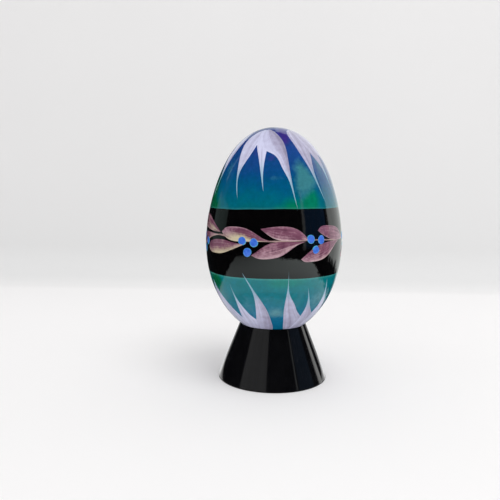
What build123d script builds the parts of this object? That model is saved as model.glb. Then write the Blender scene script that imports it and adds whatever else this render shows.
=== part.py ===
from build123d import *

import math
import os

# A blown and painted goose egg on a moulded conical stand. Millimetres, +Z up.
# The origin is the centre of the stand's foot, on the surface it stands on.
# -Y is the front. Azimuths are degrees round Z from the front, positive towards +X.
# Heights on the egg are millimetres above the lower pole of its ground colour.

# Egg profile from the lower pole up, as tangent arcs: radius, and slope of the normal where it ends.
# The last arc closes the profile on the axis, so its radius is worked out.
PROFILE_ARCS = [(19.6, -54.0), (40.8, -5.0), (73.0, 27.5), (30.8, 50.3)]
EGG_BOTTOM = 18.05

# What the egg is made of, from the outside in
GROUND_COAT = 0.12
SHELL_WALL = 0.60
MEMBRANE = 0.12
LAYER_GAP = 0.02
BLOW_HOLE_RADIUS = 1.5
BLOW_HOLE_CUT = 8.0
PLUG_HEAD_RADIUS = 2.6
PLUG_HEAD_HEIGHT = 1.3
PLUG_SHANK_SPARE = 1.0

# Ground colour zones
BAND_LOW = 28.3
BAND_HIGH = 54.5

# Painted layers over the ground colour: how far out each starts and ends
STEM_LAYER = (0.02, 0.07)
PETAL_LAYER = (0.02, 0.12)
UPPER_LEAF_LAYER = (0.09, 0.17)
LOWER_LEAF_LAYER = (0.19, 0.27)
BERRY_LAYER = (0.29, 0.40)
STEM_HEIGHT = 43.0
STEM_WIDTH = 0.5
BERRY_RADIUS = 1.65
PRISM_DEPTH = 16.0
SMALLEST_STEP = 0.001
SMALLEST_ROOT = 0.01

# Stand: a hollow truncated cone, with a dish inside its rim that follows the end of the egg
STAND_HEIGHT = 23.4
FOOT_RADIUS = 23.1
RIM_RADIUS = 13.92
STAND_WALL = 2.0
FOOT_ROUND = 0.3
SEAT_GAP = 0.25
SEAT_THROAT = 10.6
THROAT_DEPTH = 1.5

# Flower sprays round each pole. A petal is (left edge, right edge), each from its root to its tip,
# as points of (azimuth, height).
UPPER_SPRAY_A = [
    (
        [(-40, 85.2), (-49, 81.8), (-47, 77), (-41.8, 71), (-39, 66.5), (-36.4, 62.3), (-33, 58.5)],
        [(-16, 85.6), (-25.5, 79), (-30, 74.7), (-35.6, 70), (-37, 66.8), (-35.4, 62.6), (-33, 58.5)],
    ),
    (
        [(-34, 85.5), (-25.5, 79), (-20, 75.2), (-15, 70), (-11.6, 64.5), (-9.5, 61)],
        [(-6, 85.1), (-10, 76.5), (-11, 72), (-10.8, 66), (-9.5, 61)],
    ),
    (
        [(-28, 85.7), (-10, 76.5), (0, 74.8), (7, 70.5), (13, 65.5), (16.4, 60), (19, 54.8)],
        [(-6, 85.4), (9, 82), (13.4, 78.8), (14.6, 74), (15.4, 68), (17.4, 60), (19, 54.8)],
    ),
]
UPPER_SPRAY_B = [
    (
        [(34, 85.7), (25.2, 84), (26.3, 80.5), (31, 76), (37, 70.8), (43, 64), (49.5, 57)],
        [(64, 85.8), (48.5, 76.2), (44.8, 72.5), (43.3, 68.5), (45.6, 62.8), (49.5, 57)],
    ),
    (
        [(40, 85.8), (48.5, 76.2), (54, 73.4), (59, 70.6), (63, 66), (66, 61.5)],
        [(74, 85.7), (66, 75.7), (65, 71), (65, 66), (66, 61.5)],
    ),
    (
        [(48, 85.6), (66, 75.7), (74, 74.2), (81, 70), (86.5, 65), (90, 60), (93, 55.3)],
        [(70, 85.5), (82.5, 82.4), (87, 79), (88.4, 74), (89.2, 68), (91, 60), (93, 55.3)],
    ),
]
LOWER_SPRAY_A = [
    (
        [(-60, 2.8), (-72, 5), (-76.5, 10), (-75, 15.5), (-71, 20), (-66, 24.5)],
        [(-40, 2.8), (-41, 10.2), (-47, 13), (-55, 17), (-61.5, 20.5), (-66, 24.5)],
    ),
    (
        [(-54, 2.8), (-41, 10.2), (-38.9, 14), (-38.3, 18), (-38.9, 21.5), (-40, 25)],
        [(-22, 2.8), (-20.5, 10.2), (-25, 11.7), (-31, 15), (-35.8, 18.8), (-38.1, 21.7), (-40, 25)],
    ),
    (
        [(-32, 2.8), (-20.5, 10.2), (-18, 14), (-17, 18), (-18.2, 22.6), (-21.6, 26.2), (-25.5, 29.8)],
        [(-8, 2.8), (-0.5, 5), (-1.2, 9), (-5, 14), (-10.5, 18.8), (-16.2, 23), (-21, 26.8), (-25.5, 29.8)],
    ),
]
LOWER_SPRAY_B = [
    (
        [(26, 2.8), (18, 5.3), (13.5, 9.5), (11.3, 14), (11.2, 18), (12.1, 24), (12, 30.5)],
        [(48, 2.8), (33.5, 11.8), (27, 14), (21, 17.6), (15.4, 22.4), (13.4, 26), (12, 30.5)],
    ),
    (
        [(22, 2.8), (33.5, 11.8), (34.9, 15), (34, 19.5), (31, 24.3)],
        [(54, 2.8), (50, 12.3), (43, 14.8), (37.2, 18.4), (31, 24.3)],
    ),
    (
        [(40, 2.8), (50, 12.3), (53.6, 15.5), (54.5, 19.5), (51, 28)],
        [(60, 2.8), (73, 5), (71.5, 10), (67.5, 14.5), (60, 20.5), (51, 28)],
    ),
]
# A mirrored spray is the drawing flipped about this azimuth
MIRROR_AZIMUTH = -53.0

# Garland on the band. A leaf is (upper edge, lower edge), each from its pointed end to its blunt end.
# A berry is (azimuth, height). Round the back the same drawings are used again, turned.
GARLAND_0 = [
    (
        [(-47, 45.2), (-56, 48.2), (-66, 50.8), (-78, 52.2), (-92, 51.6), (-103, 49.2)],
        [(-47, 45.2), (-56, 45.3), (-66, 45.8), (-78, 46.6), (-92, 47.2), (-103, 49.2)],
    ),
    (
        [(-46, 44.2), (-56, 44.5), (-67, 44.8), (-80, 44.6), (-95, 43), (-106, 39.6)],
        [(-46, 44.2), (-56, 43.5), (-66, 41.9), (-78, 39.2), (-94, 37.6), (-106, 39.6)],
    ),
]
GARLAND_1 = [
    (
        [(-1, 42.6), (-8, 43.6), (-15, 45.6), (-23, 47.3), (-33, 47.7), (-42, 47), (-46, 45.4)],
        [(-1, 42.6), (-12, 42.3), (-23, 42.2), (-33, 42.2), (-40, 43.2), (-46, 45.4)],
    ),
    (
        [(-21, 41.5), (-31, 41.5), (-41, 42.3), (-51, 42.4), (-59, 41.7), (-64, 40.5), (-65.5, 39)],
        [(-21, 41.5), (-28, 40.1), (-37, 38.3), (-47, 36.9), (-57, 36.8), (-63, 37.4), (-65.5, 39)],
    ),
]
GARLAND_2 = [
    (
        [(28, 43), (23, 45.6), (17, 47.4), (8, 48.2), (-2, 47.9), (-10.5, 47.2)],
        [(28, 43), (18, 42.7), (8, 42.8), (0, 43.7), (-5.5, 45.3), (-10.5, 47.2)],
    ),
    (
        [(26, 42.5), (14, 42.5), (4, 42.5), (-4, 41.6), (-11, 39.4), (-17.5, 37.1)],
        [(26, 42.5), (19, 41.3), (12, 39), (5, 36.9), (-4, 35.9), (-13, 36.1), (-17.5, 37.1)],
    ),
]
GARLAND_3 = [
    (
        [(75, 42.7), (67, 46), (58, 47.8), (48, 48.3), (40, 47.9), (36.5, 46.5)],
        [(75, 42.7), (64, 42.2), (54, 42.5), (46, 43.8), (40, 45.2), (36.5, 46.5)],
    ),
    (
        [(64, 42), (53, 42.2), (43, 41.6), (34, 40.2), (27, 38), (21.5, 35.8)],
        [(64, 42), (57, 40.2), (50, 37.4), (41, 35.2), (30, 34.6), (24, 34.9), (21.5, 35.8)],
    ),
]
LEAF_PAIRS = [(GARLAND_0, 0), (GARLAND_1, 0), (GARLAND_2, 0), (GARLAND_3, 0)]
LEAF_PAIRS += [(GARLAND_3, 50), (GARLAND_2, 154), (GARLAND_3, 152)]
BERRIES_0 = [(-79, 43.2), (-69, 41.2), (-76.5, 37.9)]
BERRIES_1 = [(-25, 42.5), (-15.3, 42), (-20.5, 38.2)]
BERRIES_2 = [(29.8, 43.3), (39.8, 42.9), (34.5, 39.1)]
BERRY_GROUPS = [(BERRIES_0, 0), (BERRIES_1, 0), (BERRIES_2, 0), (BERRIES_2, 50)]
BERRY_GROUPS += [(BERRIES_1, 155), (BERRIES_2, 151), (BERRIES_0, -49)]


def point_on_circle(centre, radius, slope):
    angle = math.radians(slope)
    return centre[0] + radius * math.cos(angle), centre[1] + radius * math.sin(angle)


def egg_arcs():
    """The profile's arcs as (centre, radius, first slope, last slope), from pole to pole."""
    arcs, end, slope = [], (0.0, 0.0), -90.0
    for radius, last_slope in PROFILE_ARCS:
        centre = point_on_circle(end, -radius, slope)
        arcs.append((centre, radius, slope, last_slope))
        end, slope = point_on_circle(centre, radius, last_slope), last_slope
    radius = end[0] / math.cos(math.radians(slope))
    arcs.append((point_on_circle(end, -radius, slope), radius, slope, 90.0))
    return arcs


ARCS = egg_arcs()
EGG_LENGTH = ARCS[-1][0][1] + ARCS[-1][1]


def slope_at(height):
    """Slope of the egg's normal above the horizontal, in degrees, at a height."""
    for centre, radius, _, last in ARCS:
        if height <= point_on_circle(centre, radius, last)[1] or last == 90.0:
            rise = max(-1.0, min(1.0, (height - centre[1]) / radius))
            return math.degrees(math.asin(rise))


def profile_point(slope, offset):
    """Point of the profile where its normal has a slope, moved outward by an offset."""
    for centre, radius, _, last in ARCS:
        if slope <= last:
            x, z = point_on_circle(centre, radius + offset, slope)
            return Vector(max(x, 0.0), 0, EGG_BOTTOM + z)


def profile_edges(offset, low, high):
    """The profile between two slopes, as arcs."""
    edges = []
    for _, _, first, last in ARCS:
        start, stop = max(first, low), min(last, high)
        if stop - start > SMALLEST_STEP:
            points = [profile_point(s, offset) for s in (start, (start + stop) / 2, stop)]
            edges.append(ThreePointArc(*points))
    return edges


def coat(inner, outer, low=0.0, high=EGG_LENGTH):
    """A layer of the egg between two offsets and two heights, turned round the axis."""
    first, last = slope_at(low), slope_at(high)
    outline = profile_edges(outer, first, last) + profile_edges(inner, first, last)
    for slope in (first, last):
        outline.append(Line(profile_point(slope, inner), profile_point(slope, outer)))
    return revolve(make_face(outline), Axis.Z)


def surface_point(azimuth, height):
    flat = profile_point(slope_at(height), 0)
    angle = math.radians(azimuth)
    return Vector(flat.X * math.sin(angle), -flat.X * math.cos(angle), flat.Z)


def surface_plane(azimuth, height):
    """The plane that touches the egg at a point, with its x axis level."""
    slope, angle = math.radians(slope_at(height)), math.radians(azimuth)
    across = Vector(math.cos(angle), math.sin(angle), 0)
    outward = Vector(math.sin(angle), -math.cos(angle), 0) * math.cos(slope)
    outward += Vector(0, 0, math.sin(slope))
    return Plane(surface_point(azimuth, height), x_dir=across, z_dir=outward)


def plane_over(strokes):
    """The plane that touches the egg under the middle of a group of strokes."""
    points = [point for edges in strokes for edge in edges for point in edge]
    azimuths, heights = zip(*points)
    return surface_plane((min(azimuths) + max(azimuths)) / 2, (min(heights) + max(heights)) / 2)


def stroke_face(plane, edges):
    """A brush stroke seen square on: two edges that share its tip, closed at its root."""
    curves = []
    for edge in edges:
        points = [plane.to_local_coords(surface_point(*point)) for point in edge]
        curves.append(Spline(*[(p.X, p.Y) for p in points]))
    roots = [curve @ 0 for curve in curves]
    if (roots[0] - roots[1]).length > SMALLEST_ROOT:
        curves.append(Line(*roots))
    return make_face(curves)


def paint(face, plane, layer):
    """A film of paint in the shape of a face, lying on the egg."""
    prism = extrude(plane * face, amount=PRISM_DEPTH, both=True)
    return prism & coat(*layer)


def turned(shape, turn):
    return Rot(0, 0, turn) * shape


def mirrored(petals):
    """The same petals drawn the other way round, each with its edges in order."""
    flipped = []
    for edges in petals:
        left, right = [[(2 * MIRROR_AZIMUTH - a, h) for a, h in edge] for edge in edges]
        flipped.append((right, left))
    return flipped


def spray(petals):
    """The petals of one spray, run together where they overlap."""
    plane = plane_over(petals)
    face = stroke_face(plane, petals[0])
    for petal in petals[1:]:
        face += stroke_face(plane, petal)
    return paint(face, plane, PETAL_LAYER)


def leaf(edges, layer):
    plane = plane_over([edges])
    return paint(stroke_face(plane, edges), plane, layer)


def berries(places):
    """Round dots of paint, each its own solid."""
    dots = []
    for place in places:
        dots.append(paint(Circle(BERRY_RADIUS), surface_plane(*place), BERRY_LAYER).solid())
    return Compound(children=dots)


def garland_stem():
    """The thin stem that the leaves spring from, once round the band."""
    return coat(*STEM_LAYER, STEM_HEIGHT - STEM_WIDTH / 2, STEM_HEIGHT + STEM_WIDTH / 2)


def blow_hole(radius):
    return Pos(0, 0, EGG_BOTTOM) * Cylinder(radius, BLOW_HOLE_CUT)


def eggshell():
    shell = coat(-GROUND_COAT - SHELL_WALL, -GROUND_COAT - LAYER_GAP)
    return shell - blow_hole(BLOW_HOLE_RADIUS)


def shell_membrane():
    """The dried lining, open round the head of the plug."""
    outside = -GROUND_COAT - SHELL_WALL - LAYER_GAP
    return coat(outside - MEMBRANE, outside) - blow_hole(PLUG_HEAD_RADIUS + 2 * LAYER_GAP)


def blow_hole_plug():
    """Wax run into the hole: a shank flush inside the paint, and a domed head inside the shell."""
    below = GROUND_COAT + LAYER_GAP
    inside = below + SHELL_WALL
    cap_radius = PROFILE_ARCS[0][0]
    shank = Cylinder(BLOW_HOLE_RADIUS - LAYER_GAP, inside + PLUG_SHANK_SPARE, align=(Align.CENTER, Align.CENTER, Align.MIN))
    shank -= Pos(0, 0, cap_radius) * (Sphere(2 * cap_radius) - Sphere(cap_radius - below))
    head = Cylinder(PLUG_HEAD_RADIUS, PLUG_HEAD_HEIGHT, align=(Align.CENTER, Align.CENTER, Align.MIN))
    head = fillet(head.edges().group_by(Axis.Z)[-1], PLUG_HEAD_HEIGHT / 2)
    head = Pos(0, 0, inside) * head & Pos(0, 0, cap_radius) * Sphere(cap_radius - inside)
    return Pos(0, 0, EGG_BOTTOM) * (shank + head)


def stand():
    """The moulded cone. Its dish is concentric with the egg's lower end."""
    lean = (FOOT_RADIUS - RIM_RADIUS) / STAND_HEIGHT
    dish_radius = PROFILE_ARCS[0][0] + SEAT_GAP
    dish_centre = EGG_BOTTOM + PROFILE_ARCS[0][0]
    dish_edge = math.sqrt(dish_radius**2 - (dish_centre - STAND_HEIGHT) ** 2)
    dish_foot = dish_centre - math.sqrt(dish_radius**2 - SEAT_THROAT**2)
    middle = (dish_edge + SEAT_THROAT) / 2
    dish_middle = dish_centre - math.sqrt(dish_radius**2 - middle**2)
    throat_foot = dish_foot - THROAT_DEPTH
    bore_foot = FOOT_RADIUS - STAND_WALL
    bore_top = bore_foot - throat_foot * lean
    walls = Polyline(
        (dish_edge, 0, STAND_HEIGHT),
        (RIM_RADIUS, 0, STAND_HEIGHT),
        (FOOT_RADIUS, 0, 0),
        (bore_foot, 0, 0),
        (bore_top, 0, throat_foot),
        (SEAT_THROAT, 0, throat_foot),
        (SEAT_THROAT, 0, dish_foot),
    )
    dish = ThreePointArc((SEAT_THROAT, 0, dish_foot), (middle, 0, dish_middle), (dish_edge, 0, STAND_HEIGHT))
    cone = revolve(make_face([*walls.edges(), dish]), Axis.Z)
    foot = cone.edges().filter_by(GeomType.CIRCLE).group_by(Axis.Z)[0]
    return fillet(foot, FOOT_ROUND)


def export(name, shape):
    export_step(shape, f"parts/{name}.step")


def main():
    os.makedirs("parts", exist_ok=True)
    export("stand", stand())
    export("eggshell", eggshell())
    export("shell_membrane", shell_membrane())
    export("blow_hole_plug", blow_hole_plug())
    export("lower_ground_coat", coat(-GROUND_COAT, 0, 0, BAND_LOW - LAYER_GAP))
    export("black_band_coat", coat(-GROUND_COAT, 0, BAND_LOW, BAND_HIGH))
    export("upper_ground_coat", coat(-GROUND_COAT, 0, BAND_HIGH + LAYER_GAP, EGG_LENGTH))
    export("garland_stem", garland_stem())

    upper_a, upper_b, upper_c = spray(UPPER_SPRAY_A), spray(UPPER_SPRAY_B), spray(mirrored(UPPER_SPRAY_A))
    lower_a, lower_b = spray(LOWER_SPRAY_A), spray(LOWER_SPRAY_B)
    uppers = [(upper_c, 0), (upper_a, 0), (upper_b, 0), (upper_a, 146), (upper_b, 141)]
    lowers = [(lower_b, -153), (lower_a, 0), (lower_b, 0), (lower_a, 152), (lower_b, 142)]
    for i, (shape, turn) in enumerate(uppers, 1):
        export(f"upper_petals_{i}", turned(shape, turn))
    for i, (shape, turn) in enumerate(lowers, 1):
        export(f"lower_petals_{i}", turned(shape, turn))

    for i, (pair, turn) in enumerate(LEAF_PAIRS, 1):
        export(f"upper_leaf_{i}", turned(leaf(pair[0], UPPER_LEAF_LAYER), turn))
        export(f"lower_leaf_{i}", turned(leaf(pair[1], LOWER_LEAF_LAYER), turn))
    for i, (group, turn) in enumerate(BERRY_GROUPS, 1):
        export(f"berries_{i}", turned(berries(group), turn))


main()
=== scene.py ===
import math

import bpy
import numpy as np
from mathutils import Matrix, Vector


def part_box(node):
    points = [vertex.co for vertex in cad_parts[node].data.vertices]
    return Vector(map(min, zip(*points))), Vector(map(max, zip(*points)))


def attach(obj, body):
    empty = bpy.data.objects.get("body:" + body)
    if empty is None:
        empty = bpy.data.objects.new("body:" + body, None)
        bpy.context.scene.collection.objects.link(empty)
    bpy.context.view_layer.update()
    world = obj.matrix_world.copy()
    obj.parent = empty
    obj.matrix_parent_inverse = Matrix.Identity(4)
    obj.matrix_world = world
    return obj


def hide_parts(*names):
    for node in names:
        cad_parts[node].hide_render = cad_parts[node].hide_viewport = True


# A painted goose egg on a gloss-black cone. Blender units are metres; the drawing on the egg is given
# as points of (azimuth in degrees, height in millimetres above the egg's lower pole), as in the CAD.
# Azimuth 0 is the front (-Y), and it grows towards +X.

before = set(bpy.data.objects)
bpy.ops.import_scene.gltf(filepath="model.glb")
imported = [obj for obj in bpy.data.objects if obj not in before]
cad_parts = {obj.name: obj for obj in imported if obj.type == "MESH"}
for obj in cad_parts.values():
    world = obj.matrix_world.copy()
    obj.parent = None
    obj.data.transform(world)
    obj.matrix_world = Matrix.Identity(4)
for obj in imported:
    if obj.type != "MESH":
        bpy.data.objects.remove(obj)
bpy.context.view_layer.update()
MM = 0.001

# The egg's size comes from the frame
EGG_LOW, EGG_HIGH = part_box("lower_ground_coat")[0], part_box("upper_ground_coat")[1]
BAND_LOW_BOX, BAND_HIGH_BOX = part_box("black_band_coat")
EGG_BOTTOM = EGG_LOW.z / MM
EGG_LENGTH = (EGG_HIGH.z - EGG_LOW.z) / MM
EGG_RADIUS = BAND_HIGH_BOX.x / MM
BAND_LOW = BAND_LOW_BOX.z / MM - EGG_BOTTOM
BAND_HIGH = BAND_HIGH_BOX.z / MM - EGG_BOTTOM

# How the painted surface is divided into faces
AZIMUTH_STEPS = 480
HOLLOW_STEPS = 120
ROW_HEIGHT = 0.8
COAT_THICKNESS = 0.03
LAYER_GAP = 0.02
SHELL_WALL = 0.60
MEMBRANE = 0.12
BLOW_HOLE_RADIUS = 1.5
PLUG_HEAD_RADIUS = 2.6

# Relief of the brush strokes, in millimetres, then how far their edges sink in, how wide their shoulders
# are, and how deep their undersides lie
PETAL_RELIEF = 0.06
UPPER_LEAF_RELIEF = 0.07
LOWER_LEAF_RELIEF = 0.085
BERRY_RELIEF = 0.16
STEM_RELIEF = 0.035
STROKE_SINK = 0.006
STROKE_EDGE = 0.28
STROKE_BED = 0.03

# The lip inside a stroke's edge, as a share of its relief, and its place and width in widths of the edge
LIP_HEIGHT = 0.12
LIP_PLACE = 1.3
LIP_WIDTH = 0.6

# How far the rounding of a petal's root reaches along it, and how much higher each petal of a spray lies
# than the one before, in millimetres
ROOT_ROUND = 2.0
SPRAY_STEP = 0.008

# A stroke is thin where it is narrower than this, in millimetres, and past this share of its length
THIN_WIDTH = 4.8
THIN_FROM = 1 / 3

# Points that round to one step of a grid are joined: its steps per metre, for layers and for strokes
WELD_GRAIN = 1e7
STROKE_GRAIN = 1e8


# --- shape of the egg ---

def fullness(t):
    """How wide the egg is at t, from -1 at its lower pole to 1 at its upper."""
    return np.sqrt(np.clip(1 - t * t, 0, None)) * (1 - 0.101 * t - 0.0023 * t * t + 0.1235 * t**3)


# The egg's profile from the lower pole up, as dense samples, and the samples near that pole
PROFILE_SAMPLES = 2001
NEAR_POLE = slice(400)
HEIGHTS = EGG_LENGTH * (1 - np.cos(np.linspace(0, np.pi, PROFILE_SAMPLES))) / 2
RADII = fullness(2 * HEIGHTS / EGG_LENGTH - 1)
RADII *= EGG_RADIUS / RADII.max()
ARC_LENGTHS = np.concatenate([[0], np.cumsum(np.hypot(np.diff(HEIGHTS), np.diff(RADII)))])
NORMAL_SLOPES = np.unwrap(np.arctan2(-np.gradient(RADII, ARC_LENGTHS), np.gradient(HEIGHTS, ARC_LENGTHS)))
NORMAL_SLOPES[0], NORMAL_SLOPES[-1] = -np.pi / 2, np.pi / 2


def egg_radius(height):
    return np.interp(height, HEIGHTS, RADII)


def egg_normal(azimuth, height):
    slope = np.interp(height, HEIGHTS, NORMAL_SLOPES)
    angle = np.radians(azimuth)
    level = np.cos(slope)
    return np.stack([level * np.sin(angle), -level * np.cos(angle), np.sin(slope)], -1)


def egg_point(azimuth, height, offset=0.0):
    """Points in metres on the egg, moved outward by offset millimetres."""
    angle = np.radians(azimuth)
    radius = egg_radius(height)
    surface = np.stack([radius * np.sin(angle), -radius * np.cos(angle), EGG_BOTTOM + height], -1)
    return (surface + egg_normal(azimuth, height) * np.asarray(offset)[..., None]) * MM


# --- meshes ---

def grid_faces(rows, cols, start=0, closed=False, flipped=False):
    """Quads of a grid of points stored row by row. A closed grid joins its last column to its first."""
    r, c = np.meshgrid(np.arange(rows - 1), np.arange(cols if closed else cols - 1), indexing="ij")
    across = (c + 1) % cols
    quads = np.stack([r * cols + c, r * cols + across, (r + 1) * cols + across, (r + 1) * cols + c], -1)
    quads = quads.reshape(-1, 4) + start
    return quads[:, ::-1] if flipped else quads


def strip_faces(first, second, closed=False):
    """Quads between two lines of point numbers."""
    ahead = (np.roll(first, -1), np.roll(second, -1))
    quads = np.stack([first, ahead[0], ahead[1], second], -1)
    return quads if closed else quads[:-1]


def ring_faces(rows, cols):
    """Faces of two grids of points that run round something, one over the other, with rims between their
    ends. The grids' faces come first."""
    count, low = rows * cols, np.arange(cols)
    high = low + count - cols
    return np.concatenate([
        grid_faces(rows, cols, closed=True), grid_faces(rows, cols, count, closed=True, flipped=True),
        strip_faces(low + count, low, closed=True), strip_faces(high, high + count, closed=True),
    ])


def fan_faces(ring, centre):
    """Faces from a closed line of point numbers to one point, as quads whose last corner is doubled."""
    middle = np.full(len(ring), centre)
    return np.stack([ring, np.roll(ring, -1), middle, middle], -1)


def in_scene(name, data):
    made = bpy.data.objects.new(name, data)
    bpy.context.scene.collection.objects.link(made)
    return made


def make_piece(name, points, faces, material, attributes=None, normals=None, sharp_from=None):
    """A mesh object. Faces from number sharp_from on are shaded flat against the rest."""
    mesh = bpy.data.meshes.new(name)
    mesh.from_pydata(points.tolist(), [], [list(dict.fromkeys(face)) for face in faces.tolist()])
    mesh.validate(clean_customdata=False)
    mesh.polygons.foreach_set("use_smooth", np.ones(len(mesh.polygons), bool))
    for key, values in (attributes or {}).items():
        kind, field = ("FLOAT_VECTOR", "vector") if values.ndim == 2 else ("FLOAT", "value")
        layer = mesh.attributes.new(key, kind, "POINT")
        layer.data.foreach_set(field, values.astype(np.float32).ravel())
    if normals is not None:
        loops = np.empty(len(mesh.loops), np.int32)
        mesh.loops.foreach_get("vertex_index", loops)
        chosen = normals[loops]
        for polygon in mesh.polygons[sharp_from:]:
            chosen[polygon.loop_start:polygon.loop_start + polygon.loop_total] = polygon.normal
        mesh.normals_split_custom_set(chosen.tolist())
    mesh.materials.append(material)
    mesh.update()
    return in_scene(name, mesh)


# The pieces of each body, so that a reflector can be seen in one body's gloss alone
SEEN_IN = {body: bpy.data.collections.new(body + "_gloss") for body in ("egg", "stand")}


def stands_for(piece, body, slot, *nodes):
    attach(piece, body)
    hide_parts(*nodes)
    SEEN_IN[body].objects.link(piece)


# --- materials ---

def srgb(red, green, blue):
    """Linear colour from 0-255 screen values."""
    values = [v / 255 for v in (red, green, blue)]
    return [v / 12.92 if v <= 0.04045 else ((v + 0.055) / 1.055) ** 2.4 for v in values] + [1.0]


class Shader:
    """A material's node tree, built by short calls."""

    def __init__(self, name, **settings):
        self.material = bpy.data.materials.new(name)
        self.material.use_nodes = True
        self.tree = self.material.node_tree
        self.surface = self.tree.nodes["Principled BSDF"]
        for key, value in settings.items():
            self.surface.inputs[key.replace("_", " ")].default_value = value

    def node(self, kind, inputs=None, **settings):
        made = self.tree.nodes.new("ShaderNode" + kind)
        for key, value in settings.items():
            setattr(made, key, value)
        for key, value in (inputs or {}).items():
            self.put(value, made.inputs[key])
        return made

    def put(self, value, socket):
        if isinstance(value, bpy.types.NodeSocket):
            self.tree.links.new(value, socket)
        else:
            socket.default_value = value

    def set(self, key, value):
        self.put(value, self.surface.inputs[key])

    def painted(self, colour):
        """The finished material, in this colour."""
        self.set("Base Color", colour)
        return self.material

    def attribute(self, name, output="Fac"):
        return self.node("Attribute", attribute_name=name).outputs[output]

    def place(self):
        return self.node("TexCoord").outputs["Object"]

    def math(self, operation, *values):
        made = self.node("Math", operation=operation)
        for socket, value in zip(made.inputs, values):
            self.put(value, socket)
        return made.outputs[0]

    def stirred(self, value, noise, amount):
        """The value, moved up and down by a noise over the given amount."""
        return self.math("ADD", value, self.math("MULTIPLY_ADD", noise, amount, -amount / 2))

    def scaled(self, vector, factors):
        return self.node("VectorMath", {0: vector, 1: factors}, operation="MULTIPLY").outputs[0]

    def noise(self, vector, scale, detail=3.0, roughness=0.5, distortion=0.0):
        inputs = {"Vector": vector, "Scale": scale, "Detail": detail}
        inputs.update({"Roughness": roughness, "Distortion": distortion})
        return self.node("TexNoise", inputs).outputs["Fac"]

    def ramp(self, factor, stops):
        """A colour ramp. The stops are (position, screen colour)."""
        made = self.node("ValToRGB", {"Fac": factor})
        band = made.color_ramp
        while len(band.elements) < len(stops):
            band.elements.new(0.5)
        for element, (position, colour) in zip(band.elements, stops):
            element.position = position
            element.color = srgb(*colour)
        return made.outputs["Color"]

    def mix(self, factor, first, second, blend="MIX"):
        made = self.node("Mix", data_type="RGBA", blend_type=blend)
        for socket, value in zip((made.inputs[0], made.inputs[6], made.inputs[7]), (factor, first, second)):
            self.put(value, socket)
        return made.outputs[2]

    def span(self, value, low, high, to_low=0.0, to_high=1.0):
        inputs = {"Value": value, "From Min": low, "From Max": high, "To Min": to_low, "To Max": to_high}
        return self.node("MapRange", inputs, clamp=True).outputs["Result"]

    def bump(self, height, distance):
        return self.node("Bump", {"Height": height, "Distance": distance}).outputs[0]


LACQUER = {
    "Roughness": 0.5, "Specular_IOR_Level": 0.0, "Coat_Weight": 1.0, "Coat_Roughness": 0.03, "Coat_IOR": 1.6,
}

# Depth in metres of each surface's finest relief
LACQUER_WAVE = 0.000022
BRISTLE_DEPTH = 0.00003
STAND_WAVE = 0.00001


def lacquered(name):
    """Paint under brushed-on gloss lacquer: the coat has a faint long wave and a finer ripple."""
    shader = Shader(name, **LACQUER)
    place = shader.place()
    wave = shader.noise(place, 420.0, 2.0, 0.5)
    ripple = shader.noise(shader.scaled(place, (1.0, 1.0, 2.2)), 1500.0, 2.0, 0.5)
    swell = shader.math("MULTIPLY_ADD", ripple, 0.22, wave)
    shader.set("Coat Normal", shader.bump(swell, LACQUER_WAVE))
    return shader


def ground_paint(name, stops, green, painted_reflection):
    """Wet, cloudy washes over one another: stops along the depth, then patches of other colours, the last
    of them a painted reflection, pale veils where the lacquer mirrors the room. Both are thinned to a paler
    line along the black band."""
    shader = lacquered(name)
    place = shader.place()
    cloud = shader.noise(place, 130.0, 4.0, 0.55, 0.6)
    grain = shader.noise(place, 620.0, 3.0, 0.6)
    depth = shader.stirred(shader.stirred(shader.attribute("depth"), cloud, 0.34), grain, 0.12)
    colour = shader.ramp(depth, stops)
    # The last wash is a painted reflection: pale veils of the room in the lacquer, not a paint colour
    washes = (("green", green, 0.7), ("moss", MOSS, 0.7), ("violet", VIOLET, 0.5), ("painted_reflection", painted_reflection, 1.0))
    for key, wash, mottle in washes:
        spread = shader.stirred(shader.stirred(shader.attribute(key), cloud, mottle), grain, 0.5)
        colour = shader.mix(shader.span(spread, 0.25, 0.95), colour, srgb(*wash))
    thinned = shader.math("MULTIPLY", shader.attribute("thinned"), EDGE_THINNED)
    colour = shader.mix(thinned, colour, srgb(*THINNED_COLOUR))
    value = shader.span(grain, 0.25, 0.75, 0.86, 1.14)
    return shader.painted(shader.mix(1.0, colour, value, "MULTIPLY"))


def band_paint():
    """Black, with the faintest brown and blue in it."""
    shader = lacquered("band_black")
    cloud = shader.noise(shader.place(), 300.0, 4.0, 0.6)
    return shader.painted(shader.ramp(cloud, [(0.3, (2, 1, 2)), (0.7, (6, 5, 5))]))


def stroke_shader(name, along, across):
    """A lacquered stroke with its bristle streaks: (shader, fine streaks, broad streaks)."""
    shader = lacquered(name)
    stroke = shader.attribute("stroke", "Vector")
    fine = shader.noise(shader.scaled(stroke, (along, across, 1.0)), 1.0, 4.0, 0.6)
    broad = shader.noise(shader.scaled(stroke, (along * 0.6, across * 0.3, 1.0)), 1.0, 2.0, 0.5)
    shader.set("Normal", shader.bump(fine, BRISTLE_DEPTH))
    return shader, fine, broad


# Colours of the petals by tone, from bright to dry
PETAL_STOPS = [
    (0.0, (215, 216, 244)), (0.35, (194, 193, 221)), (0.7, (168, 163, 190)), (1.0, (146, 142, 168)),
]


def petal_paint():
    """Lilac-white strokes, greyer where the brush was drier, thin and bluish at the flicked tips."""
    shader, fine, broad = stroke_shader("petal_lilac", 1.6, 14.0)
    mottle = shader.noise(shader.place(), 420.0, 3.0, 0.6)
    tone = shader.attribute("tone")
    for part, amount in ((fine, 0.55), (broad, 1.1), (mottle, 0.7)):
        tone = shader.stirred(tone, part, amount)
    colour = shader.ramp(tone, PETAL_STOPS)
    thin = shader.stirred(shader.attribute("thin"), fine, 0.4)
    colour = shader.mix(shader.span(thin, 0.2, 0.95, 0.0, 0.68), colour, srgb(112, 182, 200))
    return shader.painted(colour)


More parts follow.
